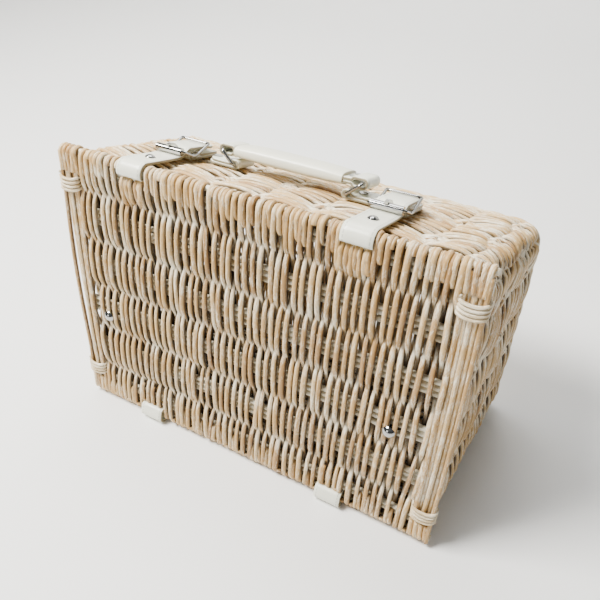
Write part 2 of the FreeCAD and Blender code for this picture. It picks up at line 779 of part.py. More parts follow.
def buckle_frame(name):
    """Two bowed side arms joined by a front, a centre and a rear bar."""
    body = new_body(name)
    for side in (-1, 1):
        arm = sketch_on(body, "YZ_Plane", side * (size("arm_inner") + size("arm_width") / 2))
        for curve in band([ROLLER_AT, (CENTRE_AT[0], CENTRE_AT[1] - 0.7), REAR_AT], [12], size("wire")):
            arm.addGeometry(curve)
        pad(body, arm, "dims.arm_width")
        if side < 0:
            bars = sketch_on(body, "YZ_Plane")
            circles(bars, [ROLLER_AT, CENTRE_AT, REAR_AT], size("wire") / 2)
            pad(body, bars, "2 * (dims.arm_inner + dims.arm_width)")
    return body


def buckle_tab(name):
    """Leather folded round the centre bar, its two ends riveted behind the buckle."""
    turn_s = CENTRE_AT[0] - FOLD_RADIUS
    bottom = CENTRE_AT[1] - FOLD_RADIUS
    top = CENTRE_AT[1] + FOLD_RADIUS
    lay_n = bottom + LEATHER + 0.02
    route = [(size("tab_tip"), bottom), (turn_s, bottom), (turn_s, top), (CENTRE_AT[0] + 2.5, top),
             (CENTRE_AT[0] + 12, lay_n), (size("tab_layer_end"), lay_n)]
    body = strip_body(name, "YZ_Plane", route, [FOLD_RADIUS, FOLD_RADIUS, 3, 3], "dims.strap_width - 1")
    slot = sketch_on(body, "XY_Plane")
    rectangle(slot, "-2.2", "2.2", "dims.centre_s - 6", "dims.centre_s + 5")
    pocket(body, slot, CUT_THROUGH)
    holes = sketch_on(body, "XY_Plane")
    circles(holes, [(0, place) for place in TAB_RIVETS], LEATHER_HOLE)
    pocket(body, holes, CUT_THROUGH)
    pointed_end(body, size("tab_tip"), size("strap_width") / 2 - 0.5, 9)
    return body


def prong(name):
    """A flat tongue that turns on the centre bar and rests on the roller."""
    body = new_body(name)
    shank = sketch_on(body, "YZ_Plane")
    rest_n = size("roller_n") + size("roller_diameter") / 2 + 1.1
    start = (CENTRE_AT[0] - 1.9, CENTRE_AT[1] + 0.95)
    route = [start, (size("roller_s") + 4.2, rest_n - 0.6), (size("roller_s"), rest_n),
             (size("roller_s") - 3.6, rest_n - 0.9)]
    for curve in band(route, [4, 3], 1.8):
        shank.addGeometry(curve)
    pad(body, shank, "dims.prong_width")
    eye = sketch_on(body, "YZ_Plane")
    circles(eye, [CENTRE_AT], 2.75)
    pad(body, eye, "dims.prong_width")
    bore = sketch_on(body, "YZ_Plane")
    circles(bore, [CENTRE_AT], size("wire_bore") / 2)
    pocket(body, bore, "10")
    return body


def wall_rivets(name, places, head_radius):
    """Rivets through a folded tab into the handle wall, each with a flat head."""
    fused = []
    for index, (x, s) in enumerate(places):
        shaft = rod("%s_shank_%d" % (name, index), "2 * dims.leather + 0.8 + dims.wall", "dims.shank",
                    Vector(x, s, -size("wall")), Z_AXIS)
        head = doc.addObject("Part::Cylinder", "%s_head_%d" % (name, index))
        head.Radius = head_radius
        head.setExpression("Height", "dims.rivet_head")
        head.Placement = Placement(Vector(x, s, 2 * LEATHER + 0.5), Rotation())
        joined = doc.addObject("Part::Fuse", "%s_%d" % (name, index))
        joined.Base = shaft
        joined.Tool = head
        fused.append(joined)
    return group(name, fused)


def roller(name):
    body = new_body(name)
    outline = sketch_on(body, "YZ_Plane")
    circles(outline, [ROLLER_AT], size("roller_diameter") / 2)
    circles(outline, [ROLLER_AT], size("wire_bore") / 2)
    pad(body, outline, "dims.roller_length")
    return body


TAB_RIVETS = (82.5, 90)
for side_name, side in SIDES:
    at = Vector(strap_x(side), 0, 0)
    for label, make in (("buckle_frame_", buckle_frame), ("buckle_tab_", buckle_tab),
                        ("prong_", prong), ("roller_", roller)):
        name = label + side_name
        keep(make(name), name, WALL_FRAME, at)
    name = "buckle_tab_rivets_" + side_name
    keep(wall_rivets(name, [(0, place) for place in TAB_RIVETS], 3.2), name, WALL_FRAME, at)

# ---- handle ------------------------------------------------------------------------

RING_LEAN = size("ring_lean")
RING_TOP_N = size("ring_n") + size("ring_height") * math.cos(math.radians(RING_LEAN))


HANDLE_RIVETS = (size("inner_rivet_x"), size("outer_rivet_x"))


def handle_tab(name, side):
    """Leather folded round the ring's lower bar and riveted to the handle wall."""
    bottom = size("ring_n") - FOLD_RADIUS
    top = size("ring_n") + FOLD_RADIUS
    turn_x = size("ring_x") - FOLD_RADIUS
    lay_n = bottom + LEATHER + 0.02
    reach = size("handle_tab_reach")
    route = [(reach, bottom), (turn_x, bottom), (turn_x, top), (size("ring_x") + 2, top),
             (size("ring_x") + 5.2, lay_n), (reach - 1.4, lay_n)]
    body = strip_body(name, "XZ_Plane", [(side * x, n) for x, n in route],
                      [FOLD_RADIUS, FOLD_RADIUS, 2, 2], "dims.handle_tab_width")
    hole = sketch_on(body, "XY_Plane")
    circles(hole, [(side * x, 0) for x in HANDLE_RIVETS], LEATHER_HOLE)
    pocket(body, hole, CUT_THROUGH)
    return body


def ring(name):
    """A rectangular wire loop lying in its own XY plane, its lower bar on the Y axis."""
    body = new_body(name)
    half = size("ring_length") / 2
    height = size("ring_height")
    bend = 2.5
    path = sketch_on(body, "XY_Plane")
    corners = [(0, -half), (height, -half), (height, half), (0, half)]
    middles = [(bend, -half + bend), (height - bend, -half + bend),
               (height - bend, half - bend), (bend, half - bend)]
    starts = (math.pi, 1.5 * math.pi, 0, 0.5 * math.pi)
    for index in range(4):
        here = Vector(*corners[index], 0)
        after = Vector(*corners[(index + 1) % 4], 0)
        run = after.sub(here).normalize()
        path.addGeometry(Part.LineSegment(here.add(run * bend), after.sub(run * bend)))
        arc_circle = Part.Circle(Vector(*middles[index], 0), Z_AXIS, bend)
        path.addGeometry(Part.ArcOfCircle(arc_circle, starts[index], starts[index] + math.pi / 2))
    section = sketch_on(body, "XZ_Plane")
    circles(section, [(0, 0)], size("wire") / 2)
    wire = body.newObject("PartDesign::AdditivePipe", name + "_wire")
    wire.Profile = section
    wire.Spine = path
    return body


for side_name, side in SIDES:
    at = Vector(size("handle_x"), size("handle_s"), 0)
    name = "handle_tab_" + side_name
    keep(handle_tab(name, side), name, WALL_FRAME, at)
    name = "handle_tab_rivets_" + side_name
    keep(wall_rivets(name, [(side * x, 0) for x in HANDLE_RIVETS], 3.6), name, WALL_FRAME, at)
    name = "ring_" + side_name
    rise = 90 - RING_LEAN
    turn = Rotation(Y_AXIS, -rise) if side > 0 else Rotation(Y_AXIS, rise - 180)
    lower_bar = at.add(Vector(side * size("ring_x"), 0, size("ring_n")))
    keep(ring(name), name, WALL_FRAME.multiply(Placement(lower_bar, turn)))


def handle_core():
    """The folded strap inside the handle, flat along the grip, with a long eye at each end."""
    body = new_body("handle_core")
    flat = sketch_on(body, "XZ_Plane")
    rectangle(flat, "-dims.void_inner", "dims.void_inner", "-dims.core_flat / 2", "dims.core_flat / 2")
    pad(body, flat, "dims.core_width")
    half = "dims.core_thickness / 2"
    for low, high in (("dims.eye_start", "dims.handle_reach"), ("-dims.handle_reach", "-dims.eye_start")):
        loop = sketch_on(body, "XZ_Plane")
        rectangle(loop, low, high, "-" + half, half)
        pad(body, loop, "dims.core_width")

    def loop_corner(edge, outer):
        middle = edge.BoundBox.Center
        at_end = abs(middle.x) > size("handle_reach") - 0.1
        return along(edge, Y_AXIS) and abs(middle.z) > size("core_flat") / 2 + 0.1 and at_end == outer

    round_edges(body, half + " - 0.05", lambda edge: loop_corner(edge, True))
    round_edges(body, "1.6", lambda edge: loop_corner(edge, False))
    for _, side in SIDES:
        eye = sketch_on(body, "XZ_Plane")
        low, high = sorted((side * size("void_inner"), side * (size("void_inner") + size("void_length"))))
        rectangle(eye, "%.3f" % low, "%.3f" % high, "-dims.void_height / 2", "dims.void_height / 2")
        pocket(body, eye, "2 * dims.core_width")
    return body


def grip_sleeve():
    """The loose sleeve, slid to the left so that it covers the left pair of rivets."""
    body = new_body("handle_grip_sleeve")
    middle = (size("grip_right") - size("grip_left")) / 2
    outline = sketch_on(body, "YZ_Plane", middle)
    rectangle(outline, "-dims.grip_width / 2", "dims.grip_width / 2",
              "-dims.grip_thickness / 2", "dims.grip_thickness / 2")
    pad(body, outline, "dims.grip_left + dims.grip_right")
    round_edges(body, "dims.grip_thickness / 2 - 1", lambda edge: along(edge, X_AXIS))
    inside = sketch_on(body, "YZ_Plane", middle)
    half_width = "(dims.core_width + dims.grip_play) / 2"
    half_height = "(dims.core_flat + dims.grip_play) / 2 + dims.rivet_head"
    rectangle(inside, "-" + half_width, half_width, "-(%s)" % half_height, half_height)
    pocket(body, inside, "2 * (dims.grip_left + dims.grip_right)")
    return body


handle_at = Vector(size("handle_x"), size("handle_s"), RING_TOP_N)
keep(handle_core(), "handle_core", WALL_FRAME, handle_at)
keep(grip_sleeve(), "handle_grip_sleeve", WALL_FRAME, handle_at)
handle_rivets = []
for _, side in SIDES:
    for shift in (-5, 5):
        item = doc.addObject("Part::Cylinder", "handle_rivet")
        item.Radius = 2.2
        item.setExpression("Height", "dims.core_flat + 2 * dims.rivet_head")
        foot = -size("core_flat") / 2 - size("rivet_head")
        item.Placement = Placement(Vector(side * size("core_rivet_x"), shift, foot), Rotation())
        handle_rivets.append(item)
keep(group("handle_rivets", handle_rivets), "handle_rivets", WALL_FRAME, handle_at)

# ---- place, test and write ---------------------------------------------------------

doc.recompute()
for piece, frame in pieces:
    piece.Placement = frame
doc.recompute()
low_y = min(piece.Shape.BoundBox.YMin for piece, _ in pieces)
high_y = max(piece.Shape.BoundBox.YMax for piece, _ in pieces)
centring = Placement(Vector(0, -(low_y + high_y) / 2, -STANDING_PLANE), Rotation())
for piece, frame in pieces:
    piece.Placement = centring.multiply(frame)
doc.recompute()

for item in doc.Objects:
    if "Invalid" in item.State or "Error" in item.State:
        raise RuntimeError("%s failed: %s" % (item.Name, item.State))
for piece, _ in pieces:
    if piece.Shape.isNull() or not piece.Shape.isValid():
        raise RuntimeError("%s has no valid shape" % piece.Label)

os.makedirs("parts", exist_ok=True)
for piece, _ in pieces:
    piece.Shape.exportStep("parts/%s.step" % piece.Label)
    print("%-28s solids %2d volume %10.1f" % (piece.Label, len(piece.Shape.Solids), piece.Shape.Volume))
print("moved by %.4f, %.4f" % (centring.Base.y, centring.Base.z))
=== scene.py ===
import math

import bpy
import numpy as np
from mathutils import Matrix, Vector


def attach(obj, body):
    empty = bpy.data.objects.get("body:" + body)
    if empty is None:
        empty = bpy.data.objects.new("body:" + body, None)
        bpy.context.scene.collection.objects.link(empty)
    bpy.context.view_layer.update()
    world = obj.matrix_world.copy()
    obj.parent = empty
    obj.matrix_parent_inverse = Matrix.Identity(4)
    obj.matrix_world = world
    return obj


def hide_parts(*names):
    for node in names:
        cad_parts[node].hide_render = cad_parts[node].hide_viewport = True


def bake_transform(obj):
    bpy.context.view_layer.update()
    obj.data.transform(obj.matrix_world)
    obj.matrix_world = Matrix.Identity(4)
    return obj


# Whitewashed willow hamper: every rod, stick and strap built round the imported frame.
# Lengths in this script are in millimetres in the lid's own frame (x along the hamper,
# y into it, z up the lid) and go to metres in the row frame when a mesh is made.

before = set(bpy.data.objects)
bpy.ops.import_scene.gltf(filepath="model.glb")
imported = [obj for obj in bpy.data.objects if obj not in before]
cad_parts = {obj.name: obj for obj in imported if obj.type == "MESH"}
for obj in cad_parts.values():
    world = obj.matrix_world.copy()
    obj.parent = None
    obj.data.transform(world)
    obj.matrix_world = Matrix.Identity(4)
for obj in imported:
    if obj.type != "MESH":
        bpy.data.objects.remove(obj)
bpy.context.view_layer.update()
rng = np.random.default_rng(11)

LEAN = math.radians(11.2)
COS, SIN = math.cos(LEAN), math.sin(LEAN)
SHIFT_Y, SHIFT_Z = -98.8117, -0.1
WALL_LINE = 248.4
MID = 6.5
HARDWARE_X = -5.8
HANDLE_X = -2.0
STRAP_SPACING = 91
STRAP_X = {"left": HARDWARE_X - STRAP_SPACING, "right": HARDWARE_X + STRAP_SPACING}
SIGNS = (("left", -1), ("right", 1))
GRAIN_LENGTH, GRAIN_ROUND = 11, 1.3
LEATHER_THICK = 2.2
HALF_LEATHER = LEATHER_THICK / 2


def to_frame(points):
    """Lid frame in millimetres to the row frame in metres."""
    p = np.asarray(points, float).reshape(-1, 3)
    y = p[:, 1] * COS + p[:, 2] * SIN + SHIFT_Y
    z = p[:, 2] * COS - p[:, 1] * SIN + SHIFT_Z
    return np.stack([p[:, 0], y, z], 1) / 1000


def from_wall(x, s, n):
    """Handle wall's frame (s down the wall, n out of it) to the lid frame."""
    s, n = np.asarray(s, float), np.asarray(n, float)
    y = s * COS + n * SIN
    z = WALL_LINE - s * SIN + n * COS
    return np.stack([np.broadcast_to(x, y.shape).astype(float), y, z], -1)


def unit(v):
    return v / np.maximum(np.linalg.norm(v, axis=-1, keepdims=True), 1e-9)


# ---- meshes ------------------------------------------------------------------------

def tube_faces(rings, sides):
    """Quads between the rings of a tube, and a face at each of its ends."""
    faces = []
    for i in range(rings - 1):
        for j in range(sides):
            k = (j + 1) % sides
            faces.append((i * sides + j, i * sides + k, (i + 1) * sides + k, (i + 1) * sides + j))
    faces.append(tuple(range(sides))[::-1])
    faces.append(tuple((rings - 1) * sides + j for j in range(sides)))
    return faces


def hollow_shade(points, around, middle, direction):
    """Darkness painted on a rod: on its flanks and where it lies deep in the weave.

    Faces turned fully inwards get less, so that the inside of the hamper isn't black.
    """
    reach = ((points - middle[:, None, :]) * direction[:, None, :]).sum(-1)
    turned_in = (around * direction[:, None, :]).sum(-1)
    flank = np.clip((turned_in + 0.62) / 0.5, 0, 1) * 0.92
    inside_relief = 1 - 0.62 * np.clip((turned_in - 0.3) / 0.5, 0, 1)
    return (np.clip(np.maximum(reach / 4 + 0.3, flank), 0, 1) * inside_relief).reshape(-1)


class Bundle:
    """Tubes and strips gathered into one mesh, with their own surface coordinates."""

    def __init__(self):
        self.points, self.faces = [], []
        # The inner list holds painted shade per point: darkness standing in for shadow on rod flanks and deep
        # in the weave.
        self.data = {"grain": [], "tone": [], "crown": [], "inner": []}
        self.count = 0

    def add(self, points, faces, grain, tone, crown, inner=0.0):
        self.points.append(points)
        self.faces += [tuple(int(i) + self.count for i in face) for face in faces]
        size = len(points)
        self.data["grain"].append(grain)
        self.data["tone"].append(np.broadcast_to(tone, size))
        self.data["crown"].append(np.broadcast_to(crown, size))
        self.data["inner"].append(np.broadcast_to(inner, size))
        self.count += size

    def tube(self, path, radius, ref, sides=8, tone=0.5, crown=1.0, inward=None):
        path = np.asarray(path, float)
        size = len(path)
        tangent = unit(np.gradient(path, axis=0))
        u = unit(np.cross(np.broadcast_to(ref, path.shape), tangent))
        v = np.cross(tangent, u)
        turn = np.arange(sides) * 2 * math.pi / sides
        radius = np.broadcast_to(radius, size)[:, None, None]
        around = np.cos(turn)[None, :, None] * u[:, None, :] + np.sin(turn)[None, :, None] * v[:, None, :]
        points = (path[:, None, :] + radius * around).reshape(-1, 3)
        faces = tube_faces(size, sides)
        step = np.r_[0, np.cumsum(np.linalg.norm(np.diff(path, axis=0), axis=1))]
        seed = rng.uniform(0, 90)
        grain = np.zeros((size, sides, 3))
        grain[:, :, 0] = (step / GRAIN_LENGTH + seed)[:, None]
        grain[:, :, 1] = np.cos(turn)[None, :] * GRAIN_ROUND + seed
        grain[:, :, 2] = np.sin(turn)[None, :] * GRAIN_ROUND
        crown = np.repeat(np.broadcast_to(crown, size), sides)
        # Painted shade from hollow_shade, stored as inner.
        inner = 0.0
        if inward is not None:
            inner = hollow_shade(points.reshape(size, sides, 3), around, *inward)
        self.add(points, faces, grain.reshape(-1, 3), tone, crown, inner)

    def make(self, name, material, body, replaces):
        mesh = bpy.data.meshes.new(name)
        mesh.from_pydata(to_frame(np.concatenate(self.points)).tolist(), [], self.faces)
        grain = mesh.attributes.new("grain", "FLOAT_VECTOR", "POINT")
        grain.data.foreach_set("vector", np.concatenate(self.data["grain"]).astype(np.float32).ravel())
        # inner carries the painted shade into a mesh attribute.
        for key in ("tone", "crown", "inner"):
            layer = mesh.attributes.new(key, "FLOAT", "POINT")
            layer.data.foreach_set("value", np.concatenate(self.data[key]).astype(np.float32))
        mesh.polygons.foreach_set("use_smooth", [True] * len(mesh.polygons))
        mesh.materials.append(material)
        piece = bpy.data.objects.new(name, mesh)
        bpy.context.scene.collection.objects.link(piece)
        if body:
            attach(piece, body)
        if replaces:
            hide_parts(*replaces)
        return piece


def rounded(points, radii, step=0.9):
    """Points along a line in a plane whose corners are rounded off."""
    points = [np.array(p, float) for p in points]
    line = [points[0]]
    for before, corner, after, radius in zip(points, points[1:], points[2:], radii):
        run_in, run_out = unit(corner - before), unit(after - corner)
        turn = math.atan2(run_in[0] * run_out[1] - run_in[1] * run_out[0], float(run_in @ run_out))
        back = radius * math.tan(abs(turn) / 2)
        start = corner - run_in * back
        side = np.array([-run_in[1], run_in[0]]) * math.copysign(1, turn)
        centre = start + side * radius
        steps = max(3, int(abs(turn) * radius / step) + 1)
        for i in range(steps + 1):
            a = turn * i / steps
            arm = start - centre
            line.append(centre + np.array([arm[0] * math.cos(a) - arm[1] * math.sin(a),
                                           arm[0] * math.sin(a) + arm[1] * math.cos(a)]))
    line.append(points[-1])
    dense = [line[0]]
    for a, b in zip(line, line[1:]):
        pieces = max(1, int(np.linalg.norm(b - a) / (2 * step)))
        dense += [a + (b - a) * (i + 1) / pieces for i in range(pieces)]
    kept = [dense[0]]
    for p in dense[1:]:
        if np.linalg.norm(p - kept[-1]) > 1e-3:
            kept.append(p)
    return np.array(kept)


def strip(bundle, path, across, half, widths=None):
    """A leather strip swept along a path; across is the direction of its width."""
    path = np.asarray(path, float)
    size = len(path)
    across = np.broadcast_to(np.asarray(across, float), path.shape)
    tangent = unit(np.gradient(path, axis=0))
    normal = unit(np.cross(tangent, across))
    h, b = HALF_LEATHER, 0.45
    inner = np.array([-0.62, -0.25, 0.25, 0.62]) * half
    outline = [(-half, -h + b), (-half, h - b), (-half + b, h)] + [(v, h) for v in inner]
    outline += [(half - b, h), (half, h - b), (half, -h + b), (half - b, -h)]
    outline += [(v, -h) for v in inner[::-1]] + [(-half + b, -h)]
    outline = np.array(outline)
    share = np.ones(size) if widths is None else np.asarray(widths, float)
    v = outline[:, 0][None, :] * share[:, None]
    w = np.broadcast_to(outline[:, 1][None, :], v.shape)
    sides = len(outline)
    points = path[:, None, :] + v[..., None] * across[:, None, :] + w[..., None] * normal[:, None, :]
    step = np.r_[0, np.cumsum(np.linalg.norm(np.diff(path, axis=0), axis=1))]
    grain = np.zeros((size, sides, 3))
    grain[:, :, 0] = step[:, None]
    grain[:, :, 1] = v
    grain[:, :, 2] = outline[:, 1][None, :]
    cut = np.where(np.abs(outline[:, 0]) >= half - 1e-6, 1.0, 0.0)
    crown = np.tile(cut, size)
    crown[:sides] = 1
    crown[-sides:] = 1
    edge_gap = np.abs(half * share[:, None] - np.abs(v)).reshape(-1)
    faces = tube_faces(size, sides)
    bundle.add(points.reshape(-1, 3), faces, grain.reshape(-1, 3), edge_gap, crown)


def rounded_end(path, half, at_start=False, at_end=True, reach=None, least=0.12):
    """Width shares that round off one or both ends of a strip."""
    step = np.r_[0, np.cumsum(np.linalg.norm(np.diff(path, axis=0), axis=1))]
    reach = reach or half
    shares = np.ones(len(path))
    for wanted, distance in ((at_start, step), (at_end, step[-1] - step)):
        if wanted:
            t = np.clip(1 - distance / reach, 0, 1)
            shares = np.minimum(shares, np.maximum(least, np.sqrt(1 - t ** 2)))
    return shares


# ---- materials ---------------------------------------------------------------------

class Shader:
    """A short way to build node materials."""

    def __init__(self, name):
        self.material = bpy.data.materials.new(name)
        self.material.use_nodes = True
        self.nodes = self.material.node_tree.nodes
        self.links = self.material.node_tree.links
        self.surface = self.nodes["Principled BSDF"]

    def node(self, kind, **values):
        made = self.nodes.new(kind)
        for key, value in values.items():
            if key in made.inputs:
                made.inputs[key].default_value = value
            else:
                setattr(made, key, value)
        return made

    def link(self, source, target):
        self.links.new(source, target)

    def attribute(self, name):
        return self.node("ShaderNodeAttribute", attribute_name=name)

    def math(self, operation, first, second=0.0, clamp=False):
        made = self.node("ShaderNodeMath", operation=operation, use_clamp=clamp)
        for index, value in enumerate((first, second)):
            if isinstance(value, (int, float)):
                made.inputs[index].default_value = value
            else:
                self.link(value, made.inputs[index])
        return made.outputs[0]

    def noise(self, vector, scale, detail=3.0, rough=0.55):
        made = self.node("ShaderNodeTexNoise", Scale=scale, Detail=detail, Roughness=rough)
        self.link(vector, made.inputs["Vector"])
        return made.outputs["Fac"]

    def ramp(self, factor, stops):
        made = self.node("ShaderNodeValToRGB")
        ramp = made.color_ramp
        while len(ramp.elements) < len(stops):
            ramp.elements.new(0.5)
        for element, (place, colour) in zip(ramp.elements, stops):
            element.position = place
            element.color = (*colour, 1)
        self.link(factor, made.inputs["Fac"])
        return made.outputs["Color"]

    def mix(self, factor, first, second):
        made = self.node("ShaderNodeMix", data_type="RGBA")
        for socket, value in zip((made.inputs["Factor"], made.inputs["A"], made.inputs["B"]),
                                 (factor, first, second)):
            if isinstance(value, (int, float)):
                socket.default_value = value
            elif isinstance(value, tuple):
                socket.default_value = (*value, 1)
            else:
                self.link(value, socket)
        return [o for o in made.outputs if o.type == "RGBA"][0]

    def colour(self, value):
        self.link(value, self.surface.inputs["Base Color"])

    def bump(self, height, distance, strength=0.6):
        made = self.node("ShaderNodeBump", Strength=strength, Distance=distance)
        self.link(height, made.inputs["Height"])
        self.link(made.outputs["Normal"], self.surface.inputs["Normal"])


# Near-black colour of the painted shade on rod flanks and deep in the weave.
PAINTED_HOLLOW_SHADE = (0.022, 0.014, 0.008)


def willow(name, stops, wash_bias, wash_colour=(0.90, 0.82, 0.635), roughness=0.5):
    """Peeled rod with white rubbed into it: tan on the crowns, white in the hollows, near-black painted shade
    on the flanks and deep inside the weave.
    """
    s = Shader(name)
    grain = s.attribute("grain").outputs["Vector"]
    tone = s.attribute("tone").outputs["Fac"]
    crown = s.attribute("crown").outputs["Fac"]
    # The inner attribute holds painted shade: how far each point is darkened to stand in for shadow.
    inner = s.attribute("inner").outputs["Fac"]
    place = s.node("ShaderNodeNewGeometry").outputs["Position"]
    streak = s.noise(grain, 1.5, 5.0, 0.65)
    fleck = s.noise(grain, 7.0, 3.0, 0.6)
    patch = s.noise(place, 45.0, 2.0)
    wash = s.math("MULTIPLY", s.math("SUBTRACT", 1.0, crown), 0.6)
    for pattern, strength in ((streak, 4.6), (fleck, 2.4), (patch, 1.9), (tone, 0.35)):
        wash = s.math("ADD", wash, s.math("MULTIPLY", s.math("SUBTRACT", pattern, 0.5), strength))
    wash = s.math("ADD", wash, wash_bias, clamp=True)
    wood = s.ramp(tone, stops)
    dark = s.mix(s.math("MULTIPLY", s.noise(grain, 2.7, 4.0), 0.5), wood, (0.22, 0.115, 0.035))
    outside = s.mix(wash, dark, wash_colour)
    # Painted shade: mix towards near black where inner is high.
    s.colour(s.mix(inner, outside, PAINTED_HOLLOW_SHADE))
    s.surface.inputs["Roughness"].default_value = roughness
    s.surface.inputs["Specular IOR Level"].default_value = 0.45
    s.bump(streak, 0.0006, 0.55)
    return s.material


WEAVER = willow("woven_willow", [(0.0, (0.42, 0.23, 0.075)), (0.3, (0.62, 0.37, 0.125)),
                                 (0.6, (0.74, 0.47, 0.18)), (1.0, (0.76, 0.54, 0.26))], 0.05)
STICK = willow("peeled_stick", [(0.0, (0.72, 0.58, 0.34)), (1.0, (0.88, 0.77, 0.52))], 0.3,
               (0.92, 0.86, 0.68), 0.38)
CANE = willow("split_cane", [(0.0, (0.50, 0.35, 0.15)), (1.0, (0.70, 0.53, 0.28))], 0.02)


STITCH_INSET, STITCH_PITCH = 2.3, 2.9


def leather(name, colour, edge_colour, stitched=True):
    """Smooth coated leather: cut edges in another colour, a stitched line near each edge."""
    s = Shader(name)
    lay = s.attribute("grain").outputs["Vector"]
    gap = s.attribute("tone").outputs["Fac"]
    cut = s.attribute("crown").outputs["Fac"]
    place = s.node("ShaderNodeNewGeometry").outputs["Position"]
    fine = s.noise(place, 900.0, 3.0)
    soft = s.noise(place, 40.0, 3.0)
    edge = s.math("MULTIPLY", s.math("SUBTRACT", cut, 0.45), 6.0, clamp=True)
    shade = s.mix(s.math("MULTIPLY", soft, 0.5), colour, tuple(c * 0.9 for c in colour))
    height = s.math("ADD", s.math("MULTIPLY", fine, 0.25), s.math("MULTIPLY", soft, 0.5))
    if stitched:
        split = s.node("ShaderNodeSeparateXYZ")
        s.link(lay, split.inputs[0])
        beside = s.math("LESS_THAN", s.math("ABSOLUTE", s.math("SUBTRACT", gap, STITCH_INSET)), 0.42)
        dash = s.math("LESS_THAN", s.math("FRACT", s.math("DIVIDE", split.outputs["X"], STITCH_PITCH)), 0.7)
        stitch = s.math("MULTIPLY", beside, dash)
        shade = s.mix(s.math("MULTIPLY", stitch, 0.55), shade, (0.46, 0.44, 0.38))
        height = s.math("SUBTRACT", height, s.math("MULTIPLY", beside, 0.8))
    s.colour(s.mix(edge, shade, edge_colour))
    s.surface.inputs["Roughness"].default_value = 0.33
    s.surface.inputs["Coat Weight"].default_value = 0.25
    s.surface.inputs["Coat Roughness"].default_value = 0.25
    s.bump(height, 0.0004, 0.35)
    return s.material


IVORY, CUT_EDGE = (0.85, 0.845, 0.70), (0.27, 0.23, 0.14)
LEATHER = leather("ivory_leather", IVORY, CUT_EDGE)
PLAIN_LEATHER = leather("ivory_leather_plain", IVORY, CUT_EDGE, False)
GRIP_LEATHER = leather("ivory_grip", (0.86, 0.84, 0.67), (0.36, 0.31, 0.19), False)


def metal(name, colour, roughness):
    s = Shader(name)
    s.surface.inputs["Metallic"].default_value = 1.0
    s.surface.inputs["Base Color"].default_value = (*colour, 1)
    place = s.node("ShaderNodeNewGeometry").outputs["Position"]
    smear = s.noise(place, 90.0, 2.0)
    s.link(s.math("ADD", s.math("MULTIPLY", smear, 0.03), roughness), s.surface.inputs["Roughness"])
    return s.material


NICKEL = metal("bright_nickel", (0.40, 0.395, 0.38), 0.09)

# ---- lid ---------------------------------------------------------------------------

FIRST_ROW, ROW_PITCH = 63.2, 43.2
ROW_TOP = FIRST_ROW + 3 * ROW_PITCH
ROW_STICK_GAP, ROW_STICK_HALF = 5, 161
BORDER_HEIGHTS = (("bottom", (7.3, 19.25, 24.25)), ("top", (245.0, 235.7, 230.7)))
BORDER_HALF = 170.5
LID_REACH = 4.4
TOP_AXIS, BOTTOM_AXIS = 242.4, 9.8
STRANDS, STRAND_HALF = 92, 151.5
NOTCH_HALF = 12.4
NOTCH_TOP, NOTCH_BOTTOM = 230.9, 20.2
LID_STUD_X = 131.5
STUD_ROW = 1


def flattened(c, k=1.3):
    return np.tanh(k * c) / math.tanh(k)


def near_strap(x):
    return any(abs(x - place) < NOTCH_HALF for place in STRAP_X.values())


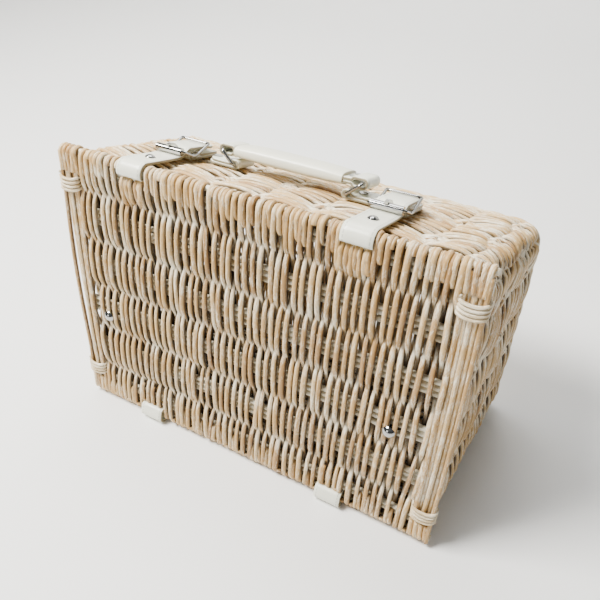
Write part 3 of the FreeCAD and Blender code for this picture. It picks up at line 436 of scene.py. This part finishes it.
def lid_strand(bundle, index, x):
    """One weaver up the lid, wrapped over the border sticks at both ends."""
    parity = 1 if index % 2 == 0 else -1
    radius = rng.normal(2.2, 0.17)
    notched = near_strap(x)
    top = NOTCH_TOP if notched else TOP_AXIS + rng.normal(0, 0.5)
    bottom = NOTCH_BOTTOM if notched else BOTTOM_AXIS + rng.normal(0, 0.4)
    z = np.arange(bottom, top + 0.1, 2.0)
    wave = flattened(np.cos(math.pi * (z - ROW_TOP) / ROW_PITCH))
    y = MID - parity * LID_REACH * wave * rng.normal(1.0, 0.03)
    ends, outward = {}, {}
    for end, axis_z, sign in (("top", top, 1), ("bottom", bottom, -1)):
        edge_y = y[-1] if end == "top" else y[0]
        in_front = edge_y < MID
        swing = np.linspace(0, math.pi, 9)[1:]
        reach = abs(edge_y - MID)
        side = -1 if in_front else 1
        arc = np.stack([np.zeros(8), MID + side * reach * np.cos(swing),
                        axis_z + sign * reach * np.sin(swing)], 1)
        has_tail = in_front or rng.random() < 0.75
        run = np.arange(2.0, rng.uniform(13, 17) if has_tail else 1.5, 2.0)
        back = np.stack([np.zeros(len(run)), np.full(len(run), MID - side * (reach - 0.55)),
                         axis_z - sign * run], 1)
        if len(back) > 3:
            back[-1, 1] = MID - side * (reach - 2.6)
            back[-2, 1] = MID - side * (reach - 1.2)
        ends[end] = np.concatenate([arc, back])
        away = np.stack([np.zeros(8), side * np.cos(swing), sign * np.sin(swing)], 1)
        outward[end] = np.concatenate([away, np.tile((0, -side, 0), (len(run), 1))])
    path = np.concatenate([ends["bottom"][::-1], np.stack([np.zeros_like(z), y, z], 1), ends["top"]])
    facing = np.concatenate([outward["bottom"][::-1], np.tile((0, -1, 0), (len(z), 1)), outward["top"]])
    crown = np.concatenate([np.ones(len(ends["bottom"])), np.abs(wave), np.ones(len(ends["top"]))])
    height = path[:, 2]
    edge = np.clip((abs(x) - 132) / 20, 0, 1)
    bulge = np.sign(x) * 4.5 * edge ** 2 * np.sin(np.clip((height - 30) / 190, 0, 1) * math.pi) ** 0.6
    lean = rng.normal(0, 0.9) * np.sin(height / 249 * math.pi * 2 + rng.uniform(0, 6))
    wobble = rng.normal(0, 0.7) * np.sin(height / rng.uniform(14, 40) + rng.uniform(0, 6))
    sway = parity * 0.75 * np.sin(2 * math.pi * (height - ROW_TOP) / (2 * ROW_PITCH) + 1.2)
    path[:, 0] = x + rng.normal(0, 0.3) + lean + wobble + bulge + sway
    taper = 1 + rng.normal(0, 0.06) * (height - 125) / 125
    thin = 0.80 + 0.20 * np.clip(crown * 1.5, 0, 1)
    tone = np.clip(rng.beta(2.0, 2.0) - 0.0006 * (x + 160), 0, 1)
    # Centre line and inward facing that place the painted shade on this weaver.
    centre = np.stack([path[:, 0], np.full(len(path), MID), np.clip(path[:, 2], bottom, top)], 1)
    bundle.tube(path, radius * taper * thin, (1, 0, 0), 9, tone, crown, (centre, -facing))


weavers = Bundle()
for index, x in enumerate(np.linspace(-STRAND_HALF, STRAND_HALF, STRANDS)):
    lid_strand(weavers, index, x)
weavers.make("lid_weavers", WEAVER, "lid", ["lid_weave"])


def plain_stick(bundle, z, half, radius=2.2, y=MID, drop=None):
    x = np.linspace(-half + rng.uniform(-1, 1), half + rng.uniform(-1, 1), 90)
    wave = rng.normal(0, 0.25) * np.sin(x / rng.uniform(40, 90) + rng.uniform(0, 6))
    sag = np.zeros_like(x) if drop is None else drop(x)
    path = np.stack([x, np.full_like(x, y), z + wave + sag], 1)
    bundle.tube(path, radius * (1 + rng.normal(0, 0.03)), (0, 0, 1), 10, rng.random(), 0.7)


def round_stud(x):
    """How far a stick is pushed down where a stud's shank passes."""
    return -4.0 * sum(np.exp(-((x - HARDWARE_X - sign * LID_STUD_X) / 13) ** 2) for _, sign in SIGNS)


rows = Bundle()
for row in range(4):
    middle = FIRST_ROW + ROW_PITCH * row
    plain_stick(rows, middle + ROW_STICK_GAP, ROW_STICK_HALF)
    plain_stick(rows, middle, ROW_STICK_HALF)
    plain_stick(rows, middle - ROW_STICK_GAP, ROW_STICK_HALF, drop=round_stud if row == STUD_ROW else None)
rows.make("lid_row_sticks", STICK, "lid", ["lid_cross_sticks"])
for label, heights in BORDER_HEIGHTS:
    border = Bundle()
    for height in heights:
        plain_stick(border, height, BORDER_HALF)
    border.make("lid_%s_border" % label, STICK, "lid", ["lid_%s_border_sticks" % label])

SIDE_RODS = 5
LASHING_X = 162.2
LASHING_HEIGHTS = (("top", 218.7), ("bottom", 34.5))


def side_rods(bundle, sign):
    """Rods up one end of the lid, drawn together between the lashings."""
    for index in range(SIDE_RODS):
        z = np.linspace(6.5 + rng.uniform(-1, 2), 243.5 - rng.uniform(0, 3), 70)
        spread = 154.6 + index * 3.6
        waist = 156.5 + index * 3.3
        blend = np.sin(np.clip((z - 30) / 192, 0, 1) * math.pi) ** 0.7
        x = spread + (waist - spread) * blend + rng.normal(0, 0.3) * np.sin(z / 30 + index)
        if sign < 0 and index == SIDE_RODS - 1:
            x += 2.6 * np.sin(np.clip((z - 60) / 150, 0, 1) * math.pi)
        y = 3.2 + 1.6 * (index % 2) + rng.normal(0, 0.4) * np.sin(z / 41 + 2 * index)
        path = np.stack([sign * x, y, z], 1)
        # Inward direction for the painted shade on the rods' flanks.
        inward = np.tile((-0.35 * sign, 0.94, 0.0), (len(path), 1))
        bundle.tube(path, 2.3 - 0.12 * index, (1, 0, 0), 10, rng.uniform(0.1, 0.9), 0.65 + 0.08 * index,
                    (path, inward))


def corner_wraps(bundle, sign):
    """Short rods bent over the border sticks beside the last weaver."""
    for x0 in (155.0, 159.4, 163.4, 167.4):
        for axis_z, direction in ((TOP_AXIS, 1), (BOTTOM_AXIS, -1)):
            swing = np.linspace(0, math.pi, 10)
            run = np.arange(14, 0.5, -2.0)
            front = np.stack([np.zeros(len(run)), np.full(len(run), MID - LID_REACH), -run], 1)
            over = np.stack([np.zeros(10), MID - LID_REACH * np.cos(swing), LID_REACH * np.sin(swing)], 1)
            back = front[::-1] + (0, 2 * LID_REACH, 0)
            path = np.concatenate([front, over, back])
            path[:, 0] = sign * (x0 + rng.normal(0, 0.3) + 0.05 * path[:, 2] * rng.normal(0, 1))
            path[:, 2] = axis_z + direction * path[:, 2]
            bundle.tube(path, rng.normal(1.95, 0.1), (1, 0, 0), 9, rng.random(), 0.75)


def lashing(bundle, sign, middle):
    """Split cane wound round the side rods."""
    turns, pitch = 4.6, 3.1
    half_width, half_depth = 9.0, 5.0
    a = np.linspace(0, turns * 2 * math.pi, 150)
    cx, sx = np.cos(a), np.sin(a)
    x = half_width * np.sign(cx) * np.abs(cx) ** 0.65
    y = 4.3 + half_depth * np.sign(sx) * np.abs(sx) ** 0.75
    sag = 1.5 * (x / half_width) ** 2
    z = middle - turns * pitch / 2 + a / (2 * math.pi) * pitch + sag - 1
    path = np.stack([sign * LASHING_X + x, y, z], 1)
    bundle.tube(path, 1.3, (0, 0, 1), 7, 0.8, 0.4 + 0.2 * np.sin(a * 1.7))


for side_name, sign in SIGNS:
    rods = Bundle()
    side_rods(rods, sign)
    corner_wraps(rods, sign)
    rods.make("lid_side_rods_%s_bunch" % side_name, WEAVER, "lid",
              ["lid_side_rods_" + side_name])
    for level, middle in LASHING_HEIGHTS:
        cane = Bundle()
        lashing(cane, sign, middle)
        cane.make("lid_lashing_%s_%s_cane" % (level, side_name), CANE, "lid",
                  ["lid_lashing_%s_%s" % (level, side_name)])

# ---- case --------------------------------------------------------------------------

CASE_DEPTH, MOUTH_HALF, BASE_HALF = 158.0, 167.0, 178.0
TAPER = math.tan(LEAN)


def outline(depth, inset, corner=21.0):
    """Round-cornered outline of the case: points, outward normals and stake phase."""
    half = MOUTH_HALF + (BASE_HALF - MOUTH_HALF) * depth / CASE_DEPTH - inset
    low = depth * TAPER + inset
    high = WALL_LINE - depth * TAPER - inset
    bend = corner - inset
    middle, rise = (low + high) / 2, (high - low) / 2
    points, normals, stakes = [], [], []
    sides = ((0, -1, half, 8, 0.875), (1, 0, rise, 5, 0.8), (0, 1, half, 8, 0.875), (-1, 0, rise, 5, 0.8))
    arc = 0.0
    previous = None
    for nx, nz, reach, count, outer in sides:
        run = np.array([-nz, nx], float)
        face = np.array([nx * half, nz * rise])
        shares = [outer * (2 * i / (count - 1) - 1) * reach for i in range(count)]
        steps = int(2 * (reach - bend) / 3.0)
        for t in np.linspace(-(reach - bend), reach - bend, steps + 1):
            points.append(face + run * t)
            normals.append((nx, nz))
            here = points[-1]
            if previous is not None:
                arc += float(np.linalg.norm(here - previous))
            previous = here
            while shares and t >= shares[0]:
                stakes.append(arc)
                shares.pop(0)
        for share in shares:
            stakes.append(arc + (share - (reach - bend)))
        centre = face + run * (reach - bend) - np.array([nx, nz]) * bend
        for i in range(1, 8):
            a = math.pi / 2 * i / 8
            arm = np.array([nx, nz]) * math.cos(a) + run * math.sin(a)
            points.append(centre + arm * bend)
            normals.append(tuple(arm))
            arc += float(np.linalg.norm(points[-1] - previous))
            previous = points[-1]
            if i == 4:
                stakes.append(arc)
    points = np.array(points)
    length = np.r_[0, np.cumsum(np.linalg.norm(np.diff(points, axis=0), axis=1))]
    total = length[-1] + np.linalg.norm(points[0] - points[-1])
    marks = np.array(sorted(stakes))
    marks = np.r_[marks[-1] - total, marks, marks[0] + total]
    phase = np.interp(length, marks, np.arange(-1, len(marks) - 1))
    points[:, 1] += middle
    return points, np.array(normals), phase


def closed_tube(bundle, path, radius, ref, sides, tone, crown, inward=None):
    """A tube round the case; it starts and ends in one place under the case."""
    path = np.concatenate([path, path[:1]])
    crown = np.r_[crown, crown[0]]
    if inward is not None:
        inward = tuple(np.concatenate([part, part[:1]]) for part in inward)
    bundle.tube(path, radius, ref, sides, tone, crown, inward)


ROW_INSET, ROW_REACH, ROW_RADIUS = 5.4, 3.3, 2.15
CASE_FIRST_ROW, CASE_LAST_ROW, CASE_ROW_PITCH = 22.6, 152, 3.75


def case_row(bundle, depth, parity):
    """One weaver round the case, in front of one stake and behind the next."""
    points, normals, phase = outline(depth, ROW_INSET)
    size = len(points)
    phase = phase + 0.2 * math.asin(math.sin(depth / 9.5)) / 1.57 * np.cos(math.pi * np.round(phase))
    wave = flattened(np.cos(math.pi * phase) * parity, 1.0)
    swell = 1 + 0.12 * np.sin(np.arange(size) * rng.uniform(0.01, 0.03) + rng.uniform(0, 6))
    drift = rng.normal(0, 0.5) * np.sin(np.arange(size) * 0.05 + rng.uniform(0, 6))
    drift += rng.normal(0, 0.35) * np.sin(np.arange(size) * 0.17 + rng.uniform(0, 6))
    offset = ROW_REACH * wave
    drift += parity * 0.8 * np.sin(math.pi * phase) + 1.7 * np.arcsin(np.sin(math.pi * phase)) / 1.57
    path = np.stack([points[:, 0] + normals[:, 0] * offset, depth + drift,
                     points[:, 1] + normals[:, 1] * offset], 1)
    # Centre line and inward normals that place the painted shade on this row.
    centre = np.stack([points[:, 0], path[:, 1], points[:, 1]], 1)
    inward = -np.stack([normals[:, 0], np.zeros(size), normals[:, 1]], 1)
    closed_tube(bundle, path, ROW_RADIUS * np.r_[swell, swell[0]] * rng.normal(1, 0.06), (0, 1, 0), 8,
                np.clip(rng.beta(2.2, 1.9), 0, 1), np.abs(wave), (centre, inward))


walls = Bundle()
depth, parity = CASE_FIRST_ROW, 1
while depth < CASE_LAST_ROW:
    case_row(walls, depth, parity)
    depth += rng.normal(CASE_ROW_PITCH, 0.14)
    parity = -parity
walls.make("case_wall_rows", WEAVER, "case", ["case_wall_weave"])


def rope(bundle, depth, inset, spread, strands, radius, twist):
    """Rods twisted round one another along the case's outline."""
    points, normals, _ = outline(depth, inset)
    length = np.r_[0, np.cumsum(np.linalg.norm(np.diff(points, axis=0), axis=1))]
    total = length[-1] + np.linalg.norm(points[0] - points[-1])
    turns = max(1, round(total / twist))
    for strand in range(strands):
        a = 2 * math.pi * (length / total * turns + strand / strands)
        offset = spread * np.cos(a)
        path = np.stack([points[:, 0] + normals[:, 0] * offset, depth + spread * np.sin(a),
                         points[:, 1] + normals[:, 1] * offset], 1)
        closed_tube(bundle, path, radius * rng.normal(1, 0.04), (0, 1, 0), 9, rng.uniform(0.4, 1),
                    np.clip(0.5 + 0.5 * np.cos(a), 0, 1))


rim = Bundle()
rope(rim, 17.4, 5.8, 1.7, 3, 1.85, 46)
rim.make("case_rim_rope", WEAVER, "case", ["case_rim_border"])


STAKES, POSTS = 30, (8, 14, 23, 29)
STAKE_INSET = 5.0


def wall_stakes(bundle, numbers, radius):
    """Upright rods through the walls, numbered round the case from its lower left."""
    near, far = 15.5, 153.0
    for number in numbers:
        line = []
        for depth in np.linspace(near, far, 18):
            points, _, phase = outline(depth, STAKE_INSET)
            full = np.r_[phase, phase[0] + STAKES]
            x = np.interp(number, full, np.r_[points[:, 0], points[0, 0]])
            z = np.interp(number, full, np.r_[points[:, 1], points[0, 1]])
            line.append((x, depth, z))
        bundle.tube(np.array(line), radius, (0, 0, 1), 8, rng.random(), 0.5)


stakes = Bundle()
wall_stakes(stakes, [number for number in range(STAKES) if number not in POSTS], 1.9)
stakes.make("case_stake_rods", STICK, "case", ["case_wall_stakes"])
posts = Bundle()
wall_stakes(posts, POSTS, 2.8)
posts.make("case_post_rods", STICK, "case", ["case_corner_posts"])


BASE_FIRST_STICK, BASE_STICK_PITCH = 60, 22


def base_panel():
    """The woven panel opposite the lid, its sticks and the rope round its foot."""
    weave = Bundle()
    middle, corner = 154.2, 17
    half, low, high = 171.5, 36.5, 211.0
    for index, x in enumerate(np.linspace(-half, half, 92)):
        cut_corner = corner - math.sqrt(corner ** 2 - max(0.0, abs(x) - half + corner) ** 2)
        z = np.arange(low + cut_corner, high - cut_corner, 2.5)
        phase = (z - BASE_FIRST_STICK) / BASE_STICK_PITCH
        wave = flattened(np.cos(math.pi * phase) * (1 if index % 2 else -1))
        drift = rng.normal(0, 0.4) * np.sin(z / 30 + rng.uniform(0, 6))
        path = np.stack([x + drift, middle + 1.75 * wave, z], 1)
        weave.tube(path, rng.normal(1.95, 0.08), (1, 0, 0), 8, rng.beta(2.2, 2), np.abs(wave))
    for z in (34.5, 213.0):
        x = np.linspace(16 - half, half - 16, 60)
        path = np.stack([x, np.full_like(x, middle), np.full_like(x, z)], 1)
        weave.tube(path, 2.6, (0, 1, 0), 10, 0.6, 0.6)
    weave.make("case_base_weavers", WEAVER, "case", ["case_base_weave"])
    sticks = Bundle()
    for index in range(7):
        plain_stick(sticks, BASE_FIRST_STICK + BASE_STICK_PITCH * index, 172, 2.1, middle)
    sticks.make("case_base_stick_rods", STICK, "case", ["case_base_sticks"])
    foot = Bundle()
    rope(foot, 154.3, 4.6, 1.7, 3, 1.8, 52)
    foot.make("case_base_rope", WEAVER, "case", [])


base_panel()

# ---- leather -----------------------------------------------------------------------

X_AXIS = (1, 0, 0)
S_AXIS = (0, COS, -SIN)
WRAP = 6.9
FRONT_Y = MID - WRAP
STRAP_HALF = 11.5
STRAP_N = 2.375
FOLD_S = 9.5
ROLLER, CENTRE, REAR = (46.0, 8.0), (61.0, 4.0), (78.0, 12.4)
ROLLER_RADIUS = 3
WIRE_BORE_RADIUS = 1.48
FLOOR_LAY = 1.25 + 0.1
FOLD = WIRE_BORE_RADIUS + HALF_LEATHER
LAYER_STEP = LEATHER_THICK + 0.02
HANDLE_S = 79.0
RING_X, RING_N = 48, 4
TAB_HALF = 12.0


def plane_path(line, x):
    return np.stack([np.full(len(line), float(x)), line[:, 0], line[:, 1]], 1)


def wall_path(line, x):
    return from_wall(x, line[:, 0], line[:, 1])


def closure_strap(side_name, x):
    loop_corner = (FRONT_Y, 242.5 + WRAP * math.tan((math.pi / 2 + LEAN) / 2))
    fold = from_wall(x, np.array([FOLD_S]), np.array([STRAP_N]))[0]
    loop = rounded([(12.4, 239.5), (FRONT_Y, 239.5), loop_corner, (fold[1], fold[2])], [1.6, WRAP])
    under = ROLLER[1] - ROLLER_RADIUS - HALF_LEATHER - 0.35
    tongue = rounded([(FOLD_S, STRAP_N), (34, STRAP_N + 0.4), (48.3, under), (56, 9.4), (76, 9.4), (91, 8.4)],
                     [20, 5, 6, 20])
    path = np.concatenate([plane_path(loop, x), wall_path(tongue, x)[1:]])
    strap = Bundle()
    strip(strap, path, X_AXIS, STRAP_HALF, widths=rounded_end(path, STRAP_HALF, reach=6, least=0.35))
    piece = strap.make("closure_strap_" + side_name, LEATHER, None,
                       ["closure_strap_loop_" + side_name, "strap_tongue_" + side_name])
    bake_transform(piece)


def floor_point(y):
    """A point of the leather lying under the case, in the lid frame."""
    return y * COS - FLOOR_LAY * SIN, FLOOR_LAY * COS + y * SIN


def hinge_strap(side_name, x):
    """Leather from under the case, round the lid's lower edge in a slack bend, into the weave."""
    line = rounded([floor_point(43.0), floor_point(-4.2), (FRONT_Y, 15.25), (12.4, 15.25)], [5.2, 1.6])
    path = plane_path(line, x)
    strap = Bundle()
    strip(strap, path, X_AXIS, STRAP_HALF, widths=rounded_end(path, STRAP_HALF, True, False, 5, 0.5))
    piece = strap.make("hinge_strap_" + side_name, LEATHER, None,
                       ["hinge_lid_leaf_" + side_name, "hinge_case_leaf_" + side_name])
    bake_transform(piece)


def buckle_tab(side_name, x):
    low, high = CENTRE[1] - FOLD, CENTRE[1] + FOLD
    lay = low + LAYER_STEP
    line = rounded([(102, low), (CENTRE[0] - FOLD, low), (CENTRE[0] - FOLD, high), (CENTRE[0] + 2.5, high),
                    (CENTRE[0] + 12, lay), (94, lay)], [FOLD, FOLD, 3, 3])
    path = wall_path(line, x)
    tab = Bundle()
    strip(tab, path, X_AXIS, 11.0, widths=rounded_end(path, 11, True, False, 10, 0.3))
    tab.make("buckle_tab_%s_leather" % side_name, LEATHER, "case",
             ["buckle_tab_" + side_name])


def handle_tab(side_name, sign):
    low, high = RING_N - FOLD, RING_N + FOLD
    lay = low + LAYER_STEP
    line = rounded([(75.4, low), (RING_X - FOLD, low), (RING_X - FOLD, high), (RING_X + 2, high),
                    (RING_X + 5.2, lay), (74, lay)], [FOLD, FOLD, 2, 2], 0.7)
    path = from_wall(0.0, np.full(len(line), HANDLE_S), line[:, 1])
    path[:, 0] = HANDLE_X + sign * line[:, 0]
    tab = Bundle()
    strip(tab, path, S_AXIS, TAB_HALF, widths=rounded_end(path, TAB_HALF, True, True, 8, 0.45))
    tab.make("handle_tab_%s_leather" % side_name, LEATHER, "case",
             ["handle_tab_" + side_name])


for side_name, x in STRAP_X.items():
    closure_strap(side_name, x)
    hinge_strap(side_name, x)
    buckle_tab(side_name, x)
for side_name, sign in SIGNS:
    handle_tab(side_name, sign)

BUCKLE_HALF = 13.3


def buckle_frame(side_name, x):
    """Two bent side wires joined by the roller's bar, the tab's bar and the rear bar."""
    wire = Bundle()
    for side in (-1, 1):
        line = rounded([ROLLER, (CENTRE[0], CENTRE[1] - 0.7), REAR], [12])
        wire.tube(wall_path(line, x + side * BUCKLE_HALF), 1.15, X_AXIS, 10)
    for (s, n), radius in ((ROLLER, 1.35), (CENTRE, 1.4), (REAR, 1.2)):
        ends = np.linspace(-BUCKLE_HALF, BUCKLE_HALF, 8)
        wire.tube(from_wall(0.0, np.full(8, s), np.full(8, n)) + ends[:, None] * (1, 0, 0) + (x, 0, 0),
                  radius, S_AXIS, 12)
    wire.make("buckle_wire_" + side_name, NICKEL, "case", ["buckle_frame_" + side_name])


for side_name, x in STRAP_X.items():
    buckle_frame(side_name, x)

# ---- handle ------------------------------------------------------------------------

RING_HEIGHT, RING_LEAN = 15.2, math.radians(50)
HANDLE_N = RING_N + RING_HEIGHT * math.cos(RING_LEAN)
GRIP_LEFT, GRIP_RIGHT = -50.2, 43.8
GRIP_MIDDLE = -3.2
GRIP_SIDES = 28


def handle_loops():
    """The strap inside the grip, folded round each ring with its two layers pressed together."""
    loops = Bundle()
    for _, sign in SIGNS:
        line = rounded([(36, 1.3), (50.2, 1.3), (52.1, 3.2), (62.55, 3.2), (62.55, -3.2), (52.1, -3.2),
                        (50.2, -1.3), (36, -1.3)], [1.4, 1.4, 2.9, 2.9, 1.4, 1.4], 0.5)
        path = from_wall(0.0, np.full(len(line), HANDLE_S), HANDLE_N + line[:, 1])
        path[:, 0] = HANDLE_X + sign * line[:, 0]
        strip(loops, path, S_AXIS, TAB_HALF)
    loops.make("handle_loops", LEATHER, "handle", ["handle_core"])


def grip():
    """The leather sleeve, a flattened tube that narrows a little towards its ends."""
    sleeve = Bundle()
    stations = np.linspace(GRIP_LEFT, GRIP_RIGHT, 60)
    points, grain = [], []
    a = np.arange(GRIP_SIDES) * 2 * math.pi / GRIP_SIDES
    for x in stations:
        share = 1 - (abs(x - GRIP_MIDDLE) / 47) ** 4
        half_w = 12.6 + 0.4 * share
        half_t = 4.4 + 1.4 * share
        v = half_w * np.sign(np.cos(a)) * np.abs(np.cos(a)) ** 0.55
        w = half_t * np.sign(np.sin(a)) * np.abs(np.sin(a)) ** 0.7
        ring = from_wall(0.0, HANDLE_S + v, HANDLE_N + w)
        ring[:, 0] = HANDLE_X + x
        points.append(ring)
        grain.append(np.stack([np.full(GRIP_SIDES, x), v, w], 1))
    faces = tube_faces(len(stations), GRIP_SIDES)
    ends = np.where(np.abs(np.repeat(stations, GRIP_SIDES) - GRIP_MIDDLE) > 46.4, 1.0, 0.0)
    sleeve.add(np.concatenate(points), faces, np.concatenate(grain), 9.0, ends)
    sleeve.make("grip_sleeve", GRIP_LEATHER, "handle", ["handle_grip_sleeve"])


handle_loops()
grip()

# ---- shown frame nodes -------------------------------------------------------------

NODE_MATERIALS = {"plate_strap": PLAIN_LEATHER}
for name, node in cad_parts.items():
    if node.hide_render:
        continue
    node.data.materials.clear()
    node.data.materials.append(NODE_MATERIALS.get(name, NICKEL))

# ---- stage, light and camera -------------------------------------------------------


def plain(name, colour, roughness=0.6):
    s = Shader(name)
    s.surface.inputs["Base Color"].default_value = (*colour, 1)
    s.surface.inputs["Roughness"].default_value = roughness
    return s.material


def sheet_mesh(name, profile, half_width, material):
    vertices, faces = [], []
    for y, z in profile:
        vertices += [(-half_width, y, z), (half_width, y, z)]
    for i in range(len(profile) - 1):
        faces.append((2 * i, 2 * i + 1, 2 * i + 3, 2 * i + 2))
    mesh = bpy.data.meshes.new(name)
    mesh.from_pydata(vertices, [], faces)
    mesh.polygons.foreach_set("use_smooth", [True] * len(mesh.polygons))
    mesh.materials.append(material)
    made = bpy.data.objects.new(name, mesh)
    bpy.context.scene.collection.objects.link(made)
    return made


curve = [(-2.5, 0.0), (0.9, 0.0)]
curve += [(0.9 + 0.5 * math.sin(a), 0.5 - 0.5 * math.cos(a)) for a in np.linspace(0.1, math.pi / 2, 14)]
curve += [(1.4, 3.0)]
sheet_mesh("backdrop", curve, 4.0, plain("pale_cloth", (0.88, 0.875, 0.85)))


def area_light(name, place, target, size, power, colour=(1, 1, 1)):
    lamp = bpy.data.lights.new(name, "AREA")
    lamp.shape = "RECTANGLE"
    lamp.size, lamp.size_y = size
    lamp.energy = power
    lamp.color = colour
    made = bpy.data.objects.new(name, lamp)
    made.location = place
    made.rotation_euler = (Vector(target) - Vector(place)).to_track_quat("-Z", "Y").to_euler()
    bpy.context.scene.collection.objects.link(made)
    return made


area_light("key", (-0.7, -0.35, 1.4), (0, 0, 0.1), (0.6, 0.6), 74, (1.0, 0.985, 0.95))
area_light("top", (-0.35, 0.65, 1.5), (0, 0, 0.15), (1.0, 0.6), 20, (0.97, 0.985, 1.0))
area_light("front", (-0.5, -1.9, 0.8), (0, 0, 0.12), (0.8, 0.8), 6)

world = bpy.data.worlds.new("studio")
world.use_nodes = True
sky = world.node_tree.nodes
direction = sky.new("ShaderNodeTexCoord")
height = sky.new("ShaderNodeSeparateXYZ")
shade = sky.new("ShaderNodeValToRGB")
shade.color_ramp.elements[0].position = 0.42
shade.color_ramp.elements[0].color = (0.16, 0.16, 0.17, 1)
shade.color_ramp.elements[1].position = 0.85
shade.color_ramp.elements[1].color = (0.92, 0.95, 1.0, 1)
lift = sky.new("ShaderNodeMath")
lift.operation = "MULTIPLY_ADD"
lift.inputs[1].default_value = 0.5
lift.inputs[2].default_value = 0.5
wire = world.node_tree.links.new
wire(direction.outputs["Generated"], height.inputs[0])
wire(height.outputs["Z"], lift.inputs[0])
wire(lift.outputs[0], shade.inputs["Fac"])
wire(shade.outputs["Color"], sky["Background"].inputs["Color"])
sky["Background"].inputs["Strength"].default_value = 0.2
bpy.context.scene.world = world

PITCH, ROLL, YAW = 0.5732, 0.0623, -0.4767
EYE = np.array([213.63, -319.06, 417.26])
forward = np.array([math.sin(YAW) * math.cos(PITCH), math.cos(YAW) * math.cos(PITCH), -math.sin(PITCH)])
level = np.array([math.cos(YAW), -math.sin(YAW), 0.0])
upward = np.cross(level, forward)
right = math.cos(ROLL) * level + math.sin(ROLL) * upward
upward = -math.sin(ROLL) * level + math.cos(ROLL) * upward


def turned(v):
    return Vector((v[0], v[1] * COS + v[2] * SIN, v[2] * COS - v[1] * SIN))


camera_data = bpy.data.cameras.new("camera")
camera_data.sensor_width = 36.0
camera_data.lens = 624.96 / 600 * 36
camera = bpy.data.objects.new("camera", camera_data)
axes = Matrix((turned(right), turned(upward), -turned(forward))).transposed()
camera.matrix_world = Matrix.Translation(Vector(to_frame([EYE])[0])) @ axes.to_4x4()
bpy.context.scene.collection.objects.link(camera)
bpy.context.scene.camera = camera
